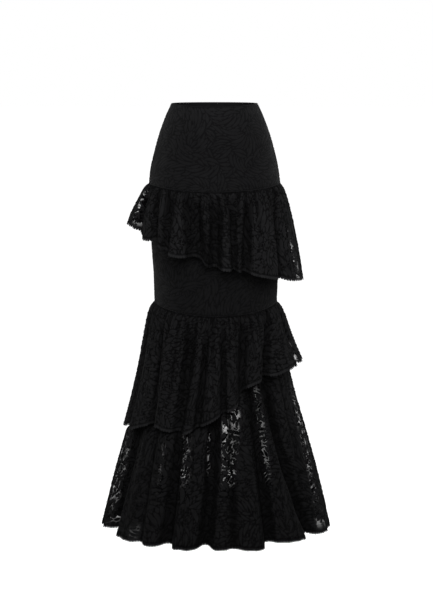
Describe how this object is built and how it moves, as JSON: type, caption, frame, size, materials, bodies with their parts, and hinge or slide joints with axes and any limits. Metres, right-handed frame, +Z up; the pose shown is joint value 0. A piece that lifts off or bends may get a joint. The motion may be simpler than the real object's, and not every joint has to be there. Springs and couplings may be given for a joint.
{
  "type": "maxi skirt",
  "caption": "Long tiered lace skirt held in its worn form: fitted lined hips and knees, slanting gathered ruffles and a sheer flared hem tier, open at waist and hem.",
  "frame": {"origin": "centre of the waist opening, at the height of its front and back edge", "axes": "+Z up, front towards -Y, so +X is on the right of a viewer who looks at the front"},
  "size_m": [0.5719, 0.4656, 1.0727],
  "materials": {
    "lace": "matt black corded leaf lace with a faint sheen",
    "lining": "matt black woven lining"
  },
  "bodies": {
    "root": {"lining": "lining", "hip_lace_front": "lace", "hip_lace_back": "lace", "knee_lace_front": "lace", "knee_lace_back": "lace", "upper_ruffle_front": "lace", "upper_ruffle_back": "lace", "lower_ruffle_front": "lace", "lower_ruffle_back": "lace", "flare_front": "lace", "flare_back": "lace"}
  },
  "joints": []
}
